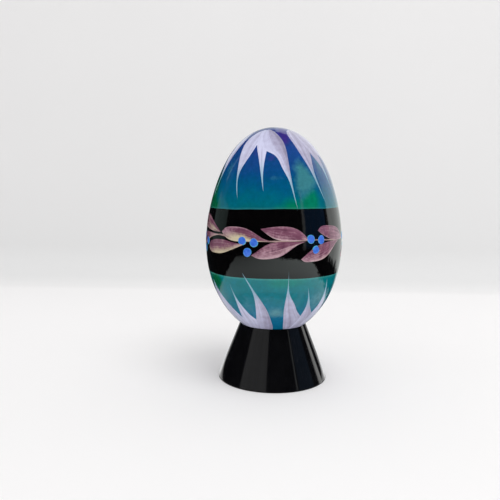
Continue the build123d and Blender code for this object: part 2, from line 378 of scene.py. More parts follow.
def leaf_paint():
    """Mauve strokes, loaded on one side of the brush with cream or pink."""
    shader, fine, _ = stroke_shader("leaf_mauve", 2.0, 13.0)
    mottle = shader.noise(shader.place(), 330.0, 2.0, 0.5)
    streak = shader.math("MULTIPLY_ADD", mottle, 0.35, shader.math("MULTIPLY", fine, 0.65))
    colour = shader.ramp(streak, [(0.36, (94, 56, 76)), (0.5, (124, 78, 99)), (0.64, (146, 100, 120))])
    speck = shader.noise(shader.place(), 1300.0, 3.0, 0.6)
    light = shader.attribute("light")
    for part, amount in ((fine, 0.6), (mottle, 0.8), (speck, 0.9)):
        light = shader.stirred(light, part, amount)
    tint = shader.mix(shader.attribute("warm"), srgb(204, 166, 182), srgb(208, 198, 164))
    colour = shader.mix(shader.span(light, 0.08, 0.95), colour, tint)
    return shader.painted(colour)


def berry_paint():
    """Cobalt dots, some with a paler cyan rim where the paint thins out."""
    shader = lacquered("berry_blue")
    cloud = shader.noise(shader.place(), 900.0, 3.0, 0.6)
    colour = shader.ramp(cloud, [(0.35, (54, 104, 212)), (0.65, (80, 130, 234))])
    rim = shader.stirred(shader.attribute("rim"), cloud, 0.5)
    return shader.painted(shader.mix(shader.span(rim, 0.25, 0.68), colour, srgb(88, 186, 210)))


def stem_paint():
    """A thin line of mauve and cream, dry in places."""
    shader, fine, _ = stroke_shader("stem_mauve", 60.0, 4.0)
    return shader.painted(shader.ramp(fine, [(0.35, (120, 84, 92)), (0.65, (188, 164, 156))]))


def stand_plastic():
    """Polished black moulding with hairline wipe marks."""
    shader = Shader("stand_gloss", Specular_IOR_Level=0.55, IOR=1.5)
    place = shader.place()
    cloud = shader.noise(place, 160.0, 4.0, 0.6)
    hair = shader.noise(shader.scaled(place, (90.0, 90.0, 2600.0)), 1.0, 2.0, 0.7)
    wiped = shader.span(hair, 0.6, 0.8, 0.0, 0.05)
    shader.set("Roughness", shader.math("ADD", shader.span(cloud, 0.3, 0.7, 0.06, 0.11), wiped))
    shader.set("Normal", shader.bump(shader.noise(place, 300.0, 2.0), STAND_WAVE))
    return shader.painted(shader.ramp(cloud, [(0.3, (6, 6, 8)), (0.7, (12, 12, 14))]))


def plain(name, colours, scale, roughness, depth):
    """A mottled matte material for the pieces inside."""
    shader = Shader(name, Roughness=roughness)
    grain = shader.noise(shader.place(), scale, 4.0, 0.6)
    shader.set("Normal", shader.bump(grain, depth))
    return shader.painted(shader.ramp(grain, list(zip((0.35, 0.65), colours))))


# --- ground colour ---

UPPER_STOPS = [
    (0.0, (0, 105, 112)), (0.22, (0, 99, 122)), (0.40, (1, 86, 126)), (0.56, (9, 74, 130)),
    (0.70, (25, 69, 136)), (0.85, (34, 64, 136)), (1.0, (66, 62, 138)),
]
LOWER_STOPS = [
    (0.0, (2, 124, 122)), (0.25, (2, 117, 132)), (0.5, (6, 114, 147)), (0.75, (8, 106, 150)),
    (1.0, (8, 84, 130)),
]
UPPER_GREEN, LOWER_GREEN = (0, 118, 88), (6, 126, 116)
# The last pair are the pale colours of the painted reflection of the room in the lacquer
UPPER_PAINTED_REFLECTION, LOWER_PAINTED_REFLECTION = (58, 126, 136), (80, 142, 156)
MOSS, VIOLET = (2, 98, 62), (60, 46, 130)

# Heights above the lower pole, and how far along a wash's stops its colour is at each
DEPTH_HEIGHTS = [0, 6, 10, 14, 20, 28, 54, 58, 63, 68, 75, 82, 87]
DEPTH_VALUES = [0.9, 0.66, 0.68, 0.45, 0.25, 0.12, 0.08, 0.20, 0.40, 0.56, 0.70, 0.84, 0.98]

# Where a wash comes through: (azimuth, height, half-width in degrees, half-height in mm, amount)
PATCHES = {
    "green": [
        (36, 58.2, 6.5, 5, 1.0), (29, 57, 6, 3.3, 0.9), (15, 55.7, 8, 3, 0.95), (2, 55, 9, 2, 0.4),
        (92, 58, 12, 5, 1.0), (150, 57, 9, 6, 1.0), (196, 57, 14, 5, 1.0), (252, 58, 9, 5, 1.0),
        (16, 27, 16, 2.4, 0.8), (2, 26.5, 9, 2.4, 0.5), (96, 25, 14, 5, 1.0), (222, 25, 15, 5, 1.0),
    ],
    "moss": [
        (-72, 57.5, 12, 6, 0.9), (-71, 66.5, 8, 7, 0.75), (-60, 55.5, 8, 2.5, 0.7), (120, 57, 10, 4, 0.8),
        (228, 57, 12, 5, 0.8), (-64, 24.5, 11, 5.5, 1.0), (-55, 26, 6, 2.5, 0.7), (128, 24, 14, 5, 0.9),
        (205, 25, 10, 4, 0.8),
    ],
    "violet": [
        (18, 84, 16, 3.4, 1.0), (14, 80.5, 6, 2.2, 0.6), (-25, 76.5, 4, 2.2, 0.45), (-3, 73.7, 8, 1.8, 0.6),
        (-46, 73, 5, 3, 0.35), (45.5, 57.5, 3.6, 3.6, 0.25), (110, 80, 18, 6, 0.9), (182, 81, 20, 6, 1.0),
        (262, 80, 16, 6, 0.9),
    ],
    # Painted reflection: pale veils where the lacquer mirrors the room, laid into the ground colour
    "painted_reflection": [
        (28, 69, 9, 5, 0.74), (26, 62.5, 8, 4.5, 0.82), (36, 65, 9, 3.5, 0.72), (2, 66, 12, 1.4, 0.4),
        (4, 13.9, 9, 2.1, 0.95), (46, 18, 8, 4, 0.6), (-28, 17, 8, 4, 0.5), (0, 19.5, 12, 3, 0.2),
        (-54, 70, 7, 7, 0.55), (54, 72, 7, 5.5, 0.6), (140, 66, 12, 5, 0.8), (232, 68, 11, 5, 0.8),
        (170, 17, 12, 4, 0.7),
    ],
}

# The pale line where the ground colours thin out along the band: its reach in millimetres, how strong it is,
# and how much of that it has at the band's upper edge
EDGE_REACH = 0.3
EDGE_THINNED = 0.34
UPPER_EDGE_SHARE = 0.4
THINNED_COLOUR = (104, 184, 168)


def patches(places, azimuth, height):
    """How strong a wash is at each point."""
    total = np.zeros_like(azimuth)
    for centre, level, half_width, half_height, amount in places:
        turn = (azimuth - centre + 180) % 360 - 180
        total += amount * np.exp(-((turn / half_width) ** 2 + ((height - level) / half_height) ** 2))
    return total


# The band's edges were brushed by hand, so they wander by some tenths of a millimetre
def band_edge_low(azimuth):
    a = np.radians(azimuth)
    return BAND_LOW - 0.15 + 0.12 * np.sin(2 * a + 0.4) + 0.07 * np.sin(5 * a + 2.0) + 0.03 * np.sin(11 * a)


def band_edge_high(azimuth):
    a = np.radians(azimuth)
    return BAND_HIGH + 0.05 + 0.4 * np.sin(a - 0.1) + 0.1 * np.sin(4 * a + 1.0) + 0.04 * np.sin(13 * a)


def egg_end(height):
    """An edge function for the egg's own end."""
    return lambda azimuth: np.full_like(azimuth, height)


def ground_coat(name, low_edge, high_edge, material):
    """A closed skin between two edges that run round the egg, as smooth outside as the egg itself."""
    azimuth = np.arange(AZIMUTH_STEPS) * 360 / AZIMUTH_STEPS
    low, high = [np.interp(edge(azimuth), HEIGHTS, ARC_LENGTHS) for edge in (low_edge, high_edge)]
    rows = int((high - low).mean() / ROW_HEIGHT) + 2
    share = np.linspace(0, 1, rows)[:, None]
    height = np.interp(low + (high - low) * share, ARC_LENGTHS, HEIGHTS)
    azimuth = np.broadcast_to(azimuth, height.shape)
    spread = {"depth": np.interp(height, DEPTH_HEIGHTS, DEPTH_VALUES)}
    spread.update({key: patches(places, azimuth, height) for key, places in PATCHES.items()})
    spread["thinned"] = np.exp(-abs(height - band_edge_low(azimuth)) / EDGE_REACH)
    spread["thinned"] += UPPER_EDGE_SHARE * np.exp(-abs(height - band_edge_high(azimuth)) / EDGE_REACH)
    attributes = {key: np.tile(values.ravel(), 2) for key, values in spread.items()}
    return layer(name, azimuth, height, (0.0, COAT_THICKNESS), material, attributes)


def hollow_layer(name, outer, inner, hole_radius, material):
    """A closed layer under the paint, at depths outer and inner, with a round hole at the lower pole."""
    start = np.interp(hole_radius, RADII[NEAR_POLE], ARC_LENGTHS[NEAR_POLE])
    rows = int(ARC_LENGTHS[-1] / ROW_HEIGHT)
    height = np.interp(np.linspace(start, ARC_LENGTHS[-1], rows), ARC_LENGTHS, HEIGHTS)[:, None]
    azimuth = (np.arange(HOLLOW_STEPS) * 360 / HOLLOW_STEPS)[None]
    height, azimuth = [np.ascontiguousarray(v) for v in np.broadcast_arrays(height, azimuth)]
    return layer(name, azimuth, height, (outer, inner), material, {})


def layer(name, azimuth, height, depths, material, attributes):
    """A closed piece between two depths under the egg's surface, from a grid of points round the egg.
    Each pole's ring of coinciding points is drawn together into one."""
    rows, cols = height.shape
    points = np.concatenate([egg_point(azimuth, height, -depth).reshape(-1, 3) for depth in depths])
    normals = egg_normal(azimuth, height).reshape(-1, 3)
    normals = np.concatenate([normals, -normals])
    first, faces, whole = joined(points, ring_faces(rows, cols), WELD_GRAIN)
    flat_from = int(whole[:2 * (rows - 1) * cols].sum())
    attributes = {label: values[first] for label, values in attributes.items()}
    return make_piece(name, points[first], faces, material, attributes, normals[first], flat_from)


def joined(points, faces, grain):
    """Draws coinciding points together: (first of each, faces left, which of the faces those are)."""
    key = np.round(points * grain).astype(np.int64)
    _, first, back = np.unique(key, axis=0, return_index=True, return_inverse=True)
    faces = back.ravel()[faces]
    whole = np.array([len(set(face)) > 2 for face in faces.tolist()])
    return first, faces[whole], whole


# --- brush strokes ---

def flat_length(points):
    """Distance along a line of (azimuth, height) points, in millimetres on the egg, from its start."""
    points = np.asarray(points, float)
    middle = egg_radius((points[1:, 1] + points[:-1, 1]) / 2)
    across = np.radians(np.diff(points[:, 0])) * middle
    along = np.diff(np.interp(points[:, 1], HEIGHTS, ARC_LENGTHS))
    return np.concatenate([[0], np.cumsum(np.hypot(across, along))])


def smooth_line(points, share):
    """A natural cubic curve through given points, at shares of its length."""
    points = np.asarray(points, float)
    knots = flat_length(points)
    gaps, count = np.diff(knots), len(points)
    matrix, right = np.eye(count), np.zeros((count, 2))
    for i in range(1, count - 1):
        matrix[i, i - 1:i + 2] = gaps[i - 1], 2 * (gaps[i - 1] + gaps[i]), gaps[i]
        steps = (points[i + 1] - points[i]) / gaps[i] - (points[i] - points[i - 1]) / gaps[i - 1]
        right[i] = 6 * steps
    bend = np.linalg.solve(matrix, right)
    place = share * knots[-1]
    i = np.clip(np.searchsorted(knots, place, side="right") - 1, 0, count - 2)
    gap, after = gaps[i][:, None], (place - knots[i])[:, None]
    before = gap - after
    curve = (bend[i] * before**3 + bend[i + 1] * after**3) / (6 * gap)
    curve += (points[i] / gap - bend[i] * gap / 6) * before
    return curve + (points[i + 1] / gap - bend[i + 1] * gap / 6) * after


def rise(distance, relief):
    """Height of the paint at a distance in from the stroke's edge: a soft shoulder with a faint lip."""
    share = np.clip(distance / STROKE_EDGE, 0, 1)
    lip = LIP_HEIGHT * relief * np.exp(-((distance / STROKE_EDGE - LIP_PLACE) / LIP_WIDTH) ** 2)
    return -STROKE_SINK + (relief + STROKE_SINK) * share * share * (3 - 2 * share) + lip * share


def stroke(edges, relief, seed, spacing=0.55, cols=17):
    """A closed lens of paint between two edges that run from the root to a shared tip.
    Returns points, faces, and for each point its (share along, share across, seed) and how thin it is."""
    length = min(flat_length(edge)[-1] for edge in edges)
    rows = int(length / spacing) + 4
    share = np.linspace(0, 1, rows)
    blunt = edges[0][0] != edges[1][0]
    if blunt:
        bend = 1 - np.cos(np.linspace(0, np.pi / 2, 8))
        share = np.concatenate([bend * ROOT_ROUND / length, np.linspace(ROOT_ROUND / length, 1, rows)[1:]])
    share[-2] = 1 - 0.35 / rows
    rows = len(share)
    first, second = smooth_line(edges[0], share), smooth_line(edges[1], share)
    if blunt:
        pinch = 1 - np.sqrt(1 - (1 - np.clip(share * length / ROOT_ROUND, 0, 1)) ** 2)
        drawn_in = (second - first) * pinch[:, None] / 2
        first, second = first + drawn_in, second - drawn_in
    across = (1 - np.cos(np.linspace(0, np.pi, cols))) / 2
    place = first[:, None] * (1 - across)[:, None] + second[:, None] * across[:, None]
    azimuth, height = place[..., 0], place[..., 1]
    sideways = np.radians(second[:, 0] - first[:, 0]) * egg_radius((first[:, 1] + second[:, 1]) / 2)
    width = np.hypot(sideways, second[:, 1] - first[:, 1])[:, None]
    distance = np.minimum(across, 1 - across) * width
    top = egg_point(azimuth, height, rise(distance, relief)).reshape(-1, 3)
    bed = egg_point(azimuth, height, np.full(azimuth.shape, -STROKE_BED)).reshape(-1, 3)
    count = rows * cols
    grid = np.arange(count).reshape(rows, cols)
    outline = np.concatenate([grid[0], grid[1:, -1], grid[-1, -2::-1], grid[-2:0:-1, 0]])
    faces = [grid_faces(rows, cols), grid_faces(rows, cols, count, flipped=True)]
    faces.append(strip_faces(outline + count, outline, closed=True))
    where = np.stack(np.broadcast_arrays(share[:, None], across[None], np.float64(seed)), -1).reshape(-1, 3)
    thin = np.clip(1.08 - width / THIN_WIDTH, 0, 1) * np.ones(cols)
    thin = thin * np.clip(2.4 * (share - THIN_FROM), 0, 1)[:, None]
    data = {"stroke": np.tile(where, (2, 1)), "thin": np.tile(thin.ravel(), 2)}
    return np.concatenate([top, bed]), np.concatenate(faces), data


def outward(points, faces):
    """Turns a closed shape's faces so that they look away from the egg's axis on its outer side."""
    triangle = points[faces[:, :3]]
    normal = np.cross(triangle[:, 1] - triangle[:, 0], triangle[:, 2] - triangle[:, 0])
    half = len(faces) // 4
    centre = triangle[:half].mean(1) - np.array([0, 0, (EGG_BOTTOM + EGG_LENGTH / 2) * MM])
    return faces if (normal[:half] * centre).sum() > 0 else faces[:, ::-1]


def gathered(shapes):
    """Several closed shapes as one set of points, faces and attributes, with doubled points joined."""
    points, faces, data, start = [], [], {}, 0
    for shape_points, shape_faces, shape_data in shapes:
        first, kept, _ = joined(shape_points, outward(shape_points, shape_faces), STROKE_GRAIN)
        points.append(shape_points[first])
        faces.append(kept + start)
        for label, values in shape_data.items():
            data.setdefault(label, []).append(values[first])
        start += len(first)
    return np.concatenate(points), np.concatenate(faces), {k: np.concatenate(v) for k, v in data.items()}


def turned(edges, turn):
    """Edges moved round the egg by degrees."""
    return [[(azimuth + turn, height) for azimuth, height in edge] for edge in edges]


# Flower sprays. A petal is (left edge, right edge), each from its root to its tip.
UPPER_SPRAY_A = [
    ([(-40, 85.2), (-49, 81.8), (-47, 77), (-41.8, 71), (-39, 66.5), (-36.4, 62.3), (-32.4, 57.4)],
     [(-16, 85.6), (-25.5, 79), (-30, 74.7), (-35.6, 70), (-37, 66.8), (-35.4, 62.6), (-32.4, 57.4)]),
    ([(-34, 85.5), (-25.5, 79), (-20, 75.2), (-15, 70), (-11.6, 64.5), (-9, 60)],
     [(-6, 85.1), (-10, 76.5), (-11, 72), (-10.8, 66), (-9, 60)]),
    ([(-28, 85.7), (-10, 76.5), (0, 74.8), (7, 70.5), (13, 65.5), (16.4, 60), (20, 53.4)],
     [(-6, 85.4), (9, 82), (13.4, 78.8), (14.6, 74), (15.4, 68), (17.4, 60), (20, 53.4)]),
]
UPPER_SPRAY_B = [
    ([(34, 85.7), (25.2, 84), (26.3, 80.5), (31, 76), (37, 70.8), (43, 64), (50, 56.3)],
     [(64, 85.8), (48.5, 76.2), (44.8, 72.5), (43.3, 68.5), (45.6, 62.8), (50, 56.3)]),
    ([(40, 85.8), (48.5, 76.2), (54, 73.4), (59, 70.6), (63, 66), (66, 61.5)],
     [(74, 85.7), (66, 75.7), (65, 71), (65, 66), (66, 61.5)]),
    ([(48, 85.8), (66, 75.7), (74, 74.2), (81, 70), (86.5, 65), (90, 60), (93, 55.3)],
     [(70, 85.7), (82.5, 82.4), (87, 79), (88.4, 74), (89.2, 68), (91, 60), (93, 55.3)]),
]
LOWER_SPRAY_A = [
    ([(-60, 2.8), (-72, 5), (-76.5, 10), (-75, 15.5), (-71, 20), (-67, 25.4)],
     [(-40, 2.8), (-41, 10.2), (-47, 13), (-55, 17), (-61.5, 20.5), (-67, 25.4)]),
    ([(-54, 2.8), (-41, 10.2), (-38.9, 14), (-38.3, 18), (-38.9, 21.5), (-41.3, 27.3)],
     [(-22, 2.8), (-20.5, 10.2), (-25, 11.7), (-31, 15), (-35.8, 18.8), (-38.1, 21.7), (-41.3, 27.3)]),
    ([(-32, 2.8), (-20.5, 10.2), (-18, 14), (-17, 18), (-18.2, 22.6), (-21.6, 26.2), (-26.2, 30.6)],
     [(-8, 2.8), (-0.5, 5), (-1.2, 9), (-5, 14), (-10.5, 18.8), (-16.2, 23), (-21, 26.8), (-26.2, 30.6)]),
]
LOWER_SPRAY_B = [
    ([(26, 2.8), (18, 5.3), (13.5, 9.5), (11.3, 14), (11.2, 18), (12.1, 24), (12, 32.6)],
     [(48, 2.8), (33.5, 11.8), (27, 14), (21, 17.6), (14.6, 22), (12.9, 26), (12, 32.6)]),
    ([(22, 2.8), (33.5, 11.8), (34.9, 15), (34, 19.5), (30, 25.4)],
     [(54, 2.8), (50, 12.3), (43, 14.8), (37.2, 18.4), (30, 25.4)]),
    ([(40, 2.8), (50, 12.3), (53.8, 15.5), (54.8, 19.5), (51, 28)],
     [(60, 2.8), (73, 5), (71.5, 10), (66.5, 14.5), (58.3, 20.5), (51, 28)]),
]
MIRROR_AZIMUTH = -53.0


def mirrored(petals):
    """A spray on the other side of the mirror azimuth."""
    flipped = []
    for edges in petals:
        left, right = [[(2 * MIRROR_AZIMUTH - a, h) for a, h in edge] for edge in edges]
        flipped.append((right, left))
    return flipped


# A spray's tones, petal by petal, from its left edge to its right
BRIGHT, SHADED, GREY, MIXED = (
    [(0.35, 0.1), (0.0, 0.15), (0.0, 0.95)], [(0.5, 1.0), (0.8, 0.7), (0.6, 0.5)],
    [(0.0, 0.2), (0.1, 0.3), (0.3, 0.75)], [(0.5, 0.6), (0.4, 0.5), (0.25, 0.0)],
)
UPPER_SPRAYS = [
    (mirrored(UPPER_SPRAY_A), GREY, 0), (UPPER_SPRAY_A, BRIGHT, 0), (UPPER_SPRAY_B, SHADED, 0),
    (UPPER_SPRAY_A, BRIGHT, 146), (UPPER_SPRAY_B, SHADED, 141),
]
LOWER_SPRAYS = [
    (LOWER_SPRAY_B, MIXED, -153), (LOWER_SPRAY_A, GREY, 0), (LOWER_SPRAY_B, MIXED, 0),
    (LOWER_SPRAY_A, GREY, 152), (LOWER_SPRAY_B, MIXED, 142),
]

# Garland. A leaf is (upper edge, lower edge), each from its pointed end to its blunt end.
# After them, where it is light: (share along, share across, half-length, half-width, amount, warmth).
GARLAND_0 = [
    ([(-47, 45.2), (-56, 48.2), (-66, 50.8), (-78, 52.2), (-92, 51.6), (-103, 49.2)],
     [(-47, 45.2), (-56, 45.3), (-66, 45.8), (-78, 46.6), (-92, 47.2), (-103, 49.2)],
     [(0.2, 0.65, 0.2, 0.25, 0.7, 0.8), (0.5, 1.0, 0.6, 0.10, 0.7, 0.3)]),
    ([(-46, 44.2), (-56, 44.5), (-67, 44.8), (-80, 44.6), (-95, 43), (-106, 39.6)],
     [(-46, 44.2), (-56, 43.5), (-66, 41.9), (-78, 39.2), (-94, 37.6), (-106, 39.6)],
     [(0.05, 0.5, 0.2, 0.5, 0.8, 0.4), (0.6, 0.95, 0.5, 0.15, 0.7, 0.7)]),
]
GARLAND_1 = [
    ([(-1, 42.6), (-8, 43.6), (-15, 45.6), (-23, 47.3), (-33, 47.7), (-42, 47), (-46, 45.4)],
     [(-1, 42.6), (-12, 42.3), (-23, 42.2), (-33, 42.2), (-40, 43.2), (-46, 45.4)],
     [
      (0.62, 0.74, 0.20, 0.24, 1.0, 0.95), (0.40, 0.92, 0.28, 0.16, 1.0, 0.95),
      (0.85, 0.5, 0.16, 0.4, 0.5, 0.1), (0.6, 1.0, 0.9, 0.08, 0.8, 0.7), (0.55, 0.0, 0.5, 0.06, 0.6, 0.1),
     ]),
    ([(-21, 41.5), (-31, 41.5), (-41, 42.3), (-51, 42.4), (-59, 41.7), (-64, 40.5), (-65.5, 39)],
     [(-21, 41.5), (-28, 40.1), (-37, 38.3), (-47, 36.9), (-57, 36.8), (-63, 37.4), (-65.5, 39)],
     [
      (0.55, 1.0, 0.42, 0.28, 1.05, 0.9), (0.12, 0.6, 0.15, 0.4, 0.7, 0.5),
      (0.95, 0.5, 0.1, 0.4, 0.4, 0.3),
     ]),
]
GARLAND_2 = [
    ([(28, 43), (23, 45.6), (17, 47.4), (8, 48.2), (-2, 47.9), (-10.5, 47.2)],
     [(28, 43), (18, 42.7), (8, 42.8), (0, 43.7), (-5.5, 45.3), (-10.5, 47.2)],
     [
      (0.45, 1.0, 0.5, 0.09, 1.1, 0.25), (0.55, 0.75, 0.35, 0.25, 0.3, 0.1),
      (0.05, 0.7, 0.1, 0.4, 0.5, 0.2), (0.5, 0.0, 0.5, 0.05, 0.4, 0.1),
     ]),
    ([(26, 42.5), (14, 42.5), (4, 42.5), (-4, 41.6), (-11, 39.4), (-17.5, 37.1)],
     [(26, 42.5), (19, 41.3), (12, 39), (5, 36.9), (-4, 35.9), (-13, 36.1), (-17.5, 37.1)],
     [
      (0.25, 0.78, 0.22, 0.14, 0.9, 0.25), (0.55, 0.90, 0.16, 0.10, 0.7, 0.1),
      (0.78, 0.96, 0.12, 0.10, 0.7, 0.2), (0.8, 0.55, 0.28, 0.4, 0.45, 0.1),
      (0.42, 0.6, 0.14, 0.08, 0.5, 0.1),
     ]),
]
GARLAND_3 = [
    ([(75, 42.7), (67, 46), (58, 47.8), (48, 48.3), (40, 47.9), (36.5, 46.5)],
     [(75, 42.7), (64, 42.2), (54, 42.5), (46, 43.8), (40, 45.2), (36.5, 46.5)],
     [(0.5, 1.0, 0.6, 0.08, 0.7, 0.2)]),
    ([(64, 42), (53, 42.2), (43, 41.6), (34, 40.2), (27, 38), (21.5, 35.8)],
     [(64, 42), (57, 40.2), (50, 37.4), (41, 35.2), (30, 34.6), (24, 34.9), (21.5, 35.8)],
     [(0.40, 1.0, 0.45, 0.14, 0.9, 0.25), (0.8, 0.7, 0.25, 0.35, 0.45, 0.1)]),
]
LEAF_PAIRS = [
    (GARLAND_0, 0), (GARLAND_1, 0), (GARLAND_2, 0), (GARLAND_3, 0),
    (GARLAND_3, 50), (GARLAND_2, 154), (GARLAND_3, 152),
]

# Berries: (azimuth, height, how much of a cyan rim)
BERRIES_0 = [(-79, 43.2, 0.9), (-69, 41.2, 1.1), (-76.5, 37.9, 1.0)]
BERRIES_1 = [(-25, 42.5, 1.0), (-15.3, 42, 0.95), (-20.5, 38.2, 0.6)]
BERRIES_2 = [(29.8, 43.3, 0.8), (39.8, 42.9, 0.6), (34.5, 39.1, 1.1)]
BERRY_GROUPS = [
    (BERRIES_0, 0), (BERRIES_1, 0), (BERRIES_2, 0), (BERRIES_2, 50),
    (BERRIES_1, 155), (BERRIES_2, 151), (BERRIES_0, -49),
]
BERRY_RADIUS = 1.7
BERRY_SIDES = 40
BERRY_RINGS = 9

# The stem runs once round the band: (azimuth, height) of its bends
STEM_BENDS = [
    (-105, 42.6), (-90, 43.2), (-70, 43.6), (-46, 44.3), (-24, 42.4), (-1, 42.6), (28, 43), (40, 42.9),
    (58, 42.4), (75, 42.7), (95, 43.2), (125, 42.8), (155, 42.7), (182, 43), (205, 42.6), (226, 42.7),
    (255, 42.6),
]
STEM_WIDTH = 0.55
STEM_STEPS = 720
STEM_SMOOTHING = 12


def petal_strokes(name, petals, tones, turn, seed, material):
    """A spray's strokes. Each lies a hair higher than the one before, as it was painted over it.
    Each has a tone at its left edge and one at its right: 0 is nearly white, 1 is grey lilac."""
    shapes = []
    for i, (edges, (left, right)) in enumerate(zip(petals, tones)):
        points, faces, data = stroke(turned(edges, turn), PETAL_RELIEF + SPRAY_STEP * i, seed + 3.7 * i)
        across = data["stroke"][:, 1]
        data["tone"] = left + (right - left) * across
        shapes.append((points, faces, data))
    points, faces, data = gathered(shapes)
    return make_piece(name, points, faces, material, data)


def leaf_stroke(name, leaf, turn, relief, seed, material):
    """A leaf of the garland, with its light places."""
    top, bottom, lights = leaf
    points, faces, data = stroke(turned((top, bottom), turn), relief, seed, 0.45)
    along, across = data["stroke"][:, 0], data["stroke"][:, 1]
    light, warm = np.zeros(len(points)), np.zeros(len(points))
    for u, v, half_length, half_width, amount, warmth in lights:
        lobe = amount * np.exp(-(((along - u) / half_length) ** 2 + ((across - v) / half_width) ** 2))
        light += lobe
        warm += lobe * warmth
    data["light"], data["warm"] = light, warm / np.maximum(light, 1e-6)
    points, faces, data = gathered([(points, faces, data)])
    return make_piece(name, points, faces, material, data)


def berry(place, turn, seed):
    """A dab of paint: a low dome with a slightly uneven outline."""
    azimuth, height, rim = place
    sides = BERRY_SIDES
    angle = np.arange(sides) * 2 * np.pi / sides
    uneven = 1 + 0.035 * np.sin(2 * angle + seed) + 0.02 * np.sin(3 * angle + 2.1 * seed)
    share = np.sin(np.linspace(0, np.pi / 2, BERRY_RINGS))[::-1, None]
    radius = BERRY_RADIUS * share * uneven
    up = height + radius * np.sin(angle)
    right = azimuth + turn + np.degrees(radius * np.cos(angle) / egg_radius(height))
    dome = BERRY_RELIEF * np.sqrt(np.clip(1 - share**2, 0, 1)) ** 0.8 - STROKE_SINK
    dome = np.broadcast_to(dome, right.shape)
    top = egg_point(right, up, dome).reshape(-1, 3)
    bed = egg_point(right[0], up[0], np.full(sides, -STROKE_BED))
    points = np.concatenate([top, bed, [bed.mean(0)]])
    outline = np.arange(sides)
    under = outline + len(top)
    faces = [grid_faces(BERRY_RINGS, sides, closed=True), strip_faces(under, outline, closed=True)]
    faces.append(fan_faces(under, len(points) - 1)[:, ::-1])
    rims = np.concatenate([(np.broadcast_to(share, right.shape) ** 6 * rim).ravel(), np.full(sides + 1, rim)])
    return points, np.concatenate(faces), {"rim": rims}


def garland_stem(material):
    """A ribbon of paint along the stem's bends, once round the egg."""
    bends = np.array(STEM_BENDS + [(a + 360, h) for a, h in STEM_BENDS[:1]])
    azimuth = bends[0, 0] + np.arange(STEM_STEPS) * 360 / STEM_STEPS
    height = np.interp(azimuth, bends[:, 0], bends[:, 1])
    kernel = np.hanning(2 * STEM_SMOOTHING + 1)
    padded = np.concatenate([height[-STEM_SMOOTHING:], height, height[:STEM_SMOOTHING]])
    height = np.convolve(padded, kernel / kernel.sum(), "valid")
    a = np.radians(azimuth)
    half = STEM_WIDTH / 2 * (1 + 0.25 * np.sin(7 * a) + 0.15 * np.sin(17 * a + 1))
    section = np.linspace(-1, 1, 7)[:, None]
    level = height + half * section
    around = np.broadcast_to(azimuth, level.shape)
    crown = np.broadcast_to(STEM_RELIEF * (1 - section**2) - STROKE_SINK, level.shape)
    skins = [egg_point(around, level, rise) for rise in (crown, np.full(level.shape, -STROKE_BED))]
    points = np.concatenate(skins).reshape(-1, 3)
    where = np.stack(np.broadcast_arrays(azimuth / 360, section, 0.5), -1).reshape(-1, 3)
    faces = outward(points, ring_faces(*level.shape))
    return make_piece("stem_stroke", points, faces, material, {"stroke": np.tile(where, (2, 1))})


# --- stand ---

# The cone's profile, in millimetres
FOOT_OUTER = 23.1
RIM_OUTER = 13.92
SEAT_SPHERE = 19.6
SEAT_GAP = 0.25
THROAT_RADIUS = 10.6
THROAT_DEPTH = 1.5
STAND_WALL = 2.0
STAND_SIDES = 288
STAND_SHARP = 50


def stand_mesh(material):
    """The cone as turned from its profile, with its edges rounded as a moulding's are."""
    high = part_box("stand")[1]
    foot, top = high.x / MM, high.z / MM
    lean = (FOOT_OUTER - RIM_OUTER) / top
    outer = [(foot - 0.25, 0), (foot, 0.08), (foot + 0.04, 0.25)]
    climb = np.linspace(0.5, top - 0.22, 40)
    outer += [(FOOT_OUTER - lean * z, z) for z in climb]
    outer += [(RIM_OUTER + 0.03, top - 0.1), (RIM_OUTER - 0.01, top - 0.01), (RIM_OUTER - 0.05, top)]
    centre = EGG_BOTTOM + SEAT_SPHERE
    reach = SEAT_SPHERE + SEAT_GAP
    edge = math.sqrt(reach**2 - (centre - top) ** 2)
    dish = [(r, centre - math.sqrt(reach**2 - r * r)) for r in np.linspace(edge - 0.03, THROAT_RADIUS, 12)]
    throat = dish[-1][1] - THROAT_DEPTH
    bore_foot = FOOT_OUTER - STAND_WALL
    bore = [(THROAT_RADIUS, z) for z in np.linspace(dish[-1][1] - 0.1, throat + 0.1, 4)]
    bore += [(r, throat) for r in np.linspace(THROAT_RADIUS + 0.1, bore_foot - throat * lean - 0.1, 4)]
    bore += [(bore_foot - z * lean, z) for z in np.linspace(throat - 0.1, 0.3, 30)]
    bore += [(bore_foot + 0.05, 0.05), (bore_foot + 0.3, 0)]
    profile = np.array(outer + dish + bore) * MM
    angle = np.arange(STAND_SIDES) * 2 * np.pi / STAND_SIDES
    ring = np.stack([np.sin(angle), -np.cos(angle)], -1)
    rows = len(profile)
    level = np.broadcast_to(profile[:, None, 1:], (rows, STAND_SIDES, 1))
    points = np.concatenate([profile[:, None, :1] * ring, level], -1).reshape(-1, 3)
    faces = grid_faces(rows, STAND_SIDES, 0, closed=True)
    ends = np.arange(STAND_SIDES)
    closing = strip_faces(ends + (rows - 1) * STAND_SIDES, ends, closed=True)
    piece = make_piece("stand_body", points, np.concatenate([faces, closing]), material)
    piece.data.set_sharp_from_angle(angle=math.radians(STAND_SHARP))
    return piece


# --- building ---

